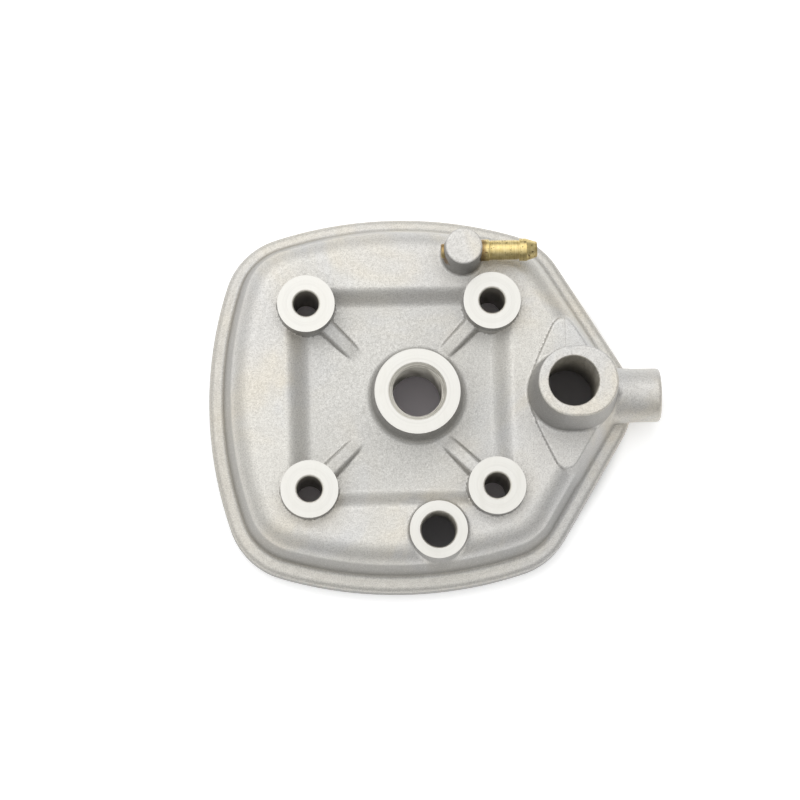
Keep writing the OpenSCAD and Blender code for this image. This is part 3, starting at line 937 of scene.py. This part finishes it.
def groove(ring_r, place=(0, 0), steps=128):
    """Cutter for a round groove in the gasket face."""
    section = groove_section(ring_r, RING_D)
    return turned(section, at=(*place, 0), steps=steps, kinds=DRILLED, closed=True)


def cutters():
    """Sets of cutters in the order of the work. The cutters of one set don't touch each other."""
    outlet = bore((OUTLET_X, OUTLET_Y, 0), OUTLET_HOLE_R, 10, OUTLET_Z, 0.2, WALL)
    stub = bore((0, STUB_Y, STUB_Z), STUB_BORE_R, OUTLET_X, STUB_END, 0.4, DRILLED, axis="x", steps=64)
    jacket_groove = swept(groove_section(JACKET_RING_INSET, JACKET_RING_D), DRILLED)
    stud_holes = [stud_hole(place) for place in STUD_PLACES]
    stud_grooves = [groove(STUD_RING_R, place, 64) for place in STUD_PLACES]
    return [
        [slab()],
        [*stud_holes, plug_hole(), sensor_hole(), outlet],
        [squish_recess(), stub, jacket_groove, bleed_port(), groove(CHAMBER_RING_R), *stud_grooves],
        [chamber_bowl(), cross_drilling()],
    ]


def applied(ob):
    """Replaces an object's mesh by what its modifiers make of it."""
    graph = bpy.context.evaluated_depsgraph_get()
    source = ob.evaluated_get(graph)
    made = bpy.data.meshes.new_from_object(source, preserve_all_data_layers=True, depsgraph=graph)
    ob.modifiers.clear()
    old = ob.data
    ob.data = made
    bpy.data.meshes.remove(old)


def read(items, key, kind, width=1):
    """One property of all items of a mesh, as an array."""
    values = np.empty(len(items) * width, kind)
    items.foreach_get(key, values)
    return values


def mesh_points(mesh):
    """Points of a mesh, in mm."""
    return read(mesh.vertices, "co", np.float32, 3).reshape(-1, 3).astype(float) / MM


def cast_head():
    """The head before it is machined: a mesh of the form, thinned where it is flat. The grid starts off
    round numbers, so that no flat face falls on it."""
    low = (HEAD_LOW[0] - 1.23, HEAD_LOW[1] - 1.23, -2.03)
    high = (HEAD_HIGH[0] + 1.2, HEAD_HIGH[1] + 1.2, OUTLET_Z + 1.2)
    points, faces = surface_net(closed_body, low, high, 0.5)
    points = settle(closed_body, points, 3, 0.3)
    outer, inner = forms(*points[faces].mean(1).T)
    head = new_object("head_casting_body", points, faces, METALS, np.where(inner > outer, WALL, CAST))
    head.modifiers.new("thin", "DECIMATE").ratio = 0.45
    applied(head)
    points = settle(closed_body, mesh_points(head.data), 2, 0.1)
    head.data.vertices.foreach_set("co", (points * MM).astype(np.float32).ravel())
    head.data.update()
    return head


def machine(head, parts):
    """Takes a set of cutters out of the head. The cut faces keep the cutters' materials."""
    points, faces, kinds = together(parts)
    tool = new_object("cutter", points, faces, METALS, kinds)
    cut = head.modifiers.new("cut", "BOOLEAN")
    cut.operation, cut.solver, cut.material_mode = "DIFFERENCE", "MANIFOLD", "TRANSFER"
    cut.object = tool
    applied(head)
    bpy.data.objects.remove(tool)


def mark_sharp(mesh, kind_of_loop):
    """Sharp edges at machined corners, and wherever two kinds of surface meet."""
    mesh.shade_smooth()
    mesh.set_sharp_from_angle(angle=math.radians(28))
    edge_of = read(mesh.loops, "edge_index", np.int32)
    highest = np.full(len(mesh.edges), -1)
    lowest = np.full(len(mesh.edges), len(METALS))
    np.maximum.at(highest, edge_of, kind_of_loop)
    np.minimum.at(lowest, edge_of, kind_of_loop)
    sharp = mesh.attributes.get("sharp_edge") or mesh.attributes.new("sharp_edge", "BOOLEAN", "EDGE")
    sharp.data.foreach_set("value", read(sharp.data, "value", bool) | (highest != lowest))
    mesh.update()


def shade(head):
    """Smooth faces with sharp machined edges. Cast faces take their normals from the form itself."""
    mesh = head.data
    kinds = read(mesh.polygons, "material_index", np.int32)
    kind_of_loop = np.repeat(kinds, read(mesh.polygons, "loop_total", np.int32))
    mark_sharp(mesh, kind_of_loop)
    vertex_of = read(mesh.loops, "vertex_index", np.int32)
    normals = read(mesh.corner_normals, "vector", np.float32, 3).reshape(-1, 3)
    points = mesh_points(mesh)
    is_cast = (kind_of_loop == CAST) | (kind_of_loop == WALL)
    used = np.unique(vertex_of[is_cast])
    uphill = slope(casting, points[used], 0.05)
    exact = np.zeros((len(points), 3))
    exact[used] = uphill / np.maximum(np.linalg.norm(uphill, axis=1), 1e-6)[:, None]
    exact = exact[vertex_of]
    agrees = is_cast & ((exact * normals).sum(1) > 0.75)
    normals[agrees] = exact[agrees]
    mesh.normals_split_custom_set(normals.tolist())


head = cast_head()
for parts in cutters():
    machine(head, parts)
shade(head)
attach(head, "root")
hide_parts("head_casting")


# ------ brass and rubber

def piece(name, body, material, node, smooth=30):
    """One closed body in one material, as a piece of its own."""
    points, faces, _ = outward(body)
    ob = new_object(name, points, faces, [material], smooth=smooth)
    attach(ob, "root")
    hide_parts(node)


def nipple():
    """Turned nipple: tail, collar, undercut, neck, barb and a narrower mouth."""
    collar_end, barb, barb_end, end = (BLEED_X + v for v in (6.8, 14.6, 16.5, 19.1))
    collar_r, undercut, neck, waist = NIPPLE_R + 0.25, NIPPLE_R - 0.12, NIPPLE_R - 0.02, NIPPLE_R - 0.15
    loop = [(NIPPLE_BORE_R, TAIL_X), (NIPPLE_TAIL_R, TAIL_X), (NIPPLE_TAIL_R, COLLAR_X), (collar_r, COLLAR_X),
            (collar_r, collar_end - 0.15), (collar_r - 0.1, collar_end), (undercut, collar_end + 0.05),
            (undercut, collar_end + 0.3), (neck, collar_end + 0.4), (neck, barb - 0.5), (waist, barb - 0.4),
            (waist, barb), (BARB_R - 0.05, barb), (BARB_R, barb + 0.06), (BARB_R, barb_end - 0.1),
            (BARB_R - 0.12, barb_end + 0.1), (2.05, end - 0.2), (1.9, end), (1.4, end),
            (NIPPLE_BORE_R, end - 0.3)]
    return turned(loop, axis="x", at=(0, BLEED_Y, NIPPLE_Z), steps=64, closed=True)


def bore_plug():
    """Turned plug with a softly rounded outer face."""
    tip, r = PLUG_TIP_X, PLUG_HOLE_R + 0.03
    profile = [(0, tip + 0.08), (0.9, tip + 0.03), (1.55, tip), (1.78, tip + 0.1), (r, tip + 0.35),
               (r, PLUG_END_X), (0, PLUG_END_X)]
    return turned(profile, axis="x", at=(0, BLEED_Y, NIPPLE_Z), steps=48)


def ring_section(at, size):
    """Loop round the section of a ring that lies flush with the gasket face."""
    return [(at + size / 2 * math.cos(t), size / 2 * (1 + math.sin(t)))
            for t in np.linspace(0, 2 * math.pi, 16, endpoint=False)]


def o_ring(ring_r, place=(0, 0), steps=128):
    """Round O-ring."""
    return turned(ring_section(ring_r, RING_D), at=(*place, 0), steps=steps, closed=True)


def jacket_ring():
    """O-ring that follows the rim."""
    return swept(ring_section(JACKET_RING_INSET, JACKET_RING_D))


piece("brass_hose_nipple", nipple(), BRASS, "bleed_nipple")
piece("brass_bore_plug", bore_plug(), BRASS, "bleed_bore_plug")
piece("chamber_seal", o_ring(CHAMBER_RING_R), RUBBER, "chamber_o_ring", 80)
piece("jacket_seal", jacket_ring(), RUBBER, "jacket_o_ring", 80)
for number, place in enumerate(STUD_PLACES, 1):
    seal = o_ring(STUD_RING_R, place, 64)
    piece(f"stud_seal_{number}", seal, RUBBER, f"stud_o_ring_{number}", 80)


# ------ floor, light and camera

def floor_material():
    """Pale and plain, glowing faintly outside the head (painted light), with painted shade under the head,
    darkest under the outlet and the sensor.
    """
    n = Nodes("studio_floor")
    from_head = n.length(n.moved(shift=(-0.09, 0, 0), stretch=(17.2, 20.2, 0)))
    # Painted glow: the floor emits faint light outside the head, rising to full strength a little way out.
    painted_glow = n.span(from_head, 0.87, 0.97, 0.0, 0.3)
    below = n.span(from_head, 0.8, 0.87, 1.0, 0.0)
    tone = n.ramp(n.noise(3, 2, 0.5), [(0.3, (0.95, 0.95, 0.95)), (0.7, (0.97, 0.97, 0.97))])
    # Painted shade: under the head the floor is darkened to a mauve grey, which shows through the holes.
    tone = n.mix(below, tone, (0.90, 0.845, 0.88))
    # Painted shade, darker still under the outlet and the sensor.
    under_outlet = n.band(n.far_from((OUTLET_X, OUTLET_Y, 0)), 12, 14, 0.75, 0.0)
    under_sensor = n.band(n.far_from((SENSOR_X, SENSOR_Y, 0)), 12, 14, 0.75, 0.0)
    painted_hole_shade = n.product(n.math("MAXIMUM", under_outlet, under_sensor), below)
    inputs = n.shader.inputs
    n.link(n.mix(painted_hole_shade, tone, (0.30, 0.295, 0.30)), inputs["Base Color"])
    n.link(painted_glow, inputs["Emission Strength"])
    for key, value in (("Emission Color", (1, 1, 1, 1)), ("Roughness", 0.9), ("Specular IOR Level", 0.2)):
        inputs[key].default_value = value
    return n.mat


def studio_floor():
    """Wide floor, a hair below the gasket face."""
    corners = [(x * 3000, y * 3000, -0.02) for x, y in ((-1, -1), (1, -1), (1, 1), (-1, 1))]
    return new_object("studio_floor", corners, [[0, 1, 2, 3]], [floor_material()])


def round_light(name, place, size, power):
    """Soft round light, pointed at the origin."""
    data = bpy.data.lights.new(name, "AREA")
    data.shape, data.size, data.energy = "DISK", size, power
    ob = placed(name, data)
    ob.location = place
    ob.rotation_mode = "QUATERNION"
    ob.rotation_quaternion = (-Vector(place)).to_track_quat("-Z", "Y")


def studio_sky():
    """White light from all round, brightest and slightly warm from above."""
    world = bpy.data.worlds.new("studio")
    bpy.context.scene.world = world
    world.use_nodes = True
    nodes, link = world.node_tree.nodes, world.node_tree.links.new
    nodes.clear()
    out = nodes.new("ShaderNodeOutputWorld")
    sky = nodes.new("ShaderNodeBackground")
    direction = nodes.new("ShaderNodeTexCoord")
    ramp = nodes.new("ShaderNodeValToRGB")
    overhead = nodes.new("ShaderNodeVectorMath")
    overhead.operation = "DOT_PRODUCT"
    overhead.inputs[1].default_value = Vector((-0.17, 0.25, 0.955)).normalized()
    levels = [(0.0, 0.26), (0.30, 0.36), (0.55, 0.68), (0.75, 1.06), (0.90, 1.36), (1.0, 1.44)]
    fill_ramp(ramp.color_ramp, [(at, (level * (0.985 + 0.015 * at), level, level * (1.02 - 0.03 * at)))
                                for at, level in levels])
    link(direction.outputs["Generated"], overhead.inputs[0])
    link(overhead.outputs["Value"], ramp.inputs[0])
    link(ramp.outputs[0], sky.inputs[0])
    link(sky.outputs[0], out.inputs[0])


def photo_camera():
    """Camera at the photograph's place: almost overhead, slightly to the near left."""
    aim = Vector((-0.26, -0.95, 18)) * MM
    distance, elevation = 0.7724, math.radians(81.22)
    azimuth, roll = math.radians(11.21), math.radians(-1.357)
    level = -math.cos(elevation)
    back = Vector((level * math.sin(azimuth), level * math.cos(azimuth), math.sin(elevation)))
    right = Matrix.Rotation(roll, 3, back) @ Vector((0, 1, 0)).cross(back).normalized()
    data = bpy.data.cameras.new("camera")
    data.lens, data.sensor_width = 135, 36
    data.clip_start, data.clip_end = 0.05, 20
    camera = placed("camera", data)
    camera.rotation_mode = "QUATERNION"
    camera.rotation_quaternion = Matrix((right, back.cross(right), back)).transposed().to_quaternion()
    camera.location = aim + back * distance
    bpy.context.scene.camera = camera


studio_floor()
round_light("key", (-0.26, 0.52, 1.0), 1.2, 2.6)
studio_sky()
photo_camera()
bpy.context.scene.view_settings.view_transform = "Standard"
